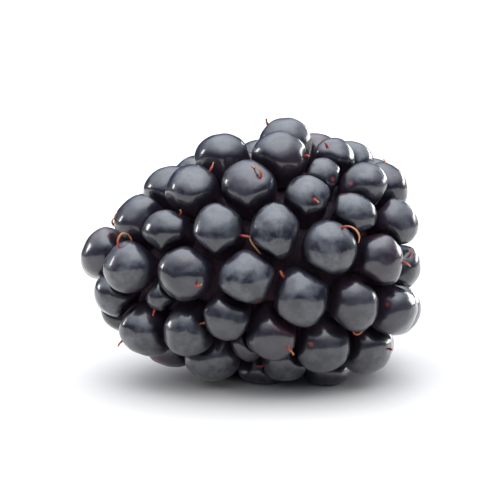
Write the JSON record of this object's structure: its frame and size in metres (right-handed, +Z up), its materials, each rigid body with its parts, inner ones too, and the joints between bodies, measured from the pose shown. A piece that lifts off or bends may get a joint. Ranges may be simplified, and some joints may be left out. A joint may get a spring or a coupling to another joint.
{
  "type": "bramble berry",
  "caption": "Picked bramble berry lying on its side: glossy black drupelets grown together round a pale receptacle that shows at the stem end.",
  "frame": {"origin": "on the surface that the berry rests on, under the middle of its bounding box", "axes": "+X along the berry's length from the stem end to the tip, +Z up"},
  "size_m": [0.0272, 0.022, 0.0209],
  "materials": {
    "drupelet_skin": "gloss",
    "receptacle_flesh": "matte",
    "dried_style": "matte"
  },
  "bodies": {
    "root": {"drupelets": "drupelet_skin", "receptacle": "receptacle_flesh"}
  },
  "joints": []
}
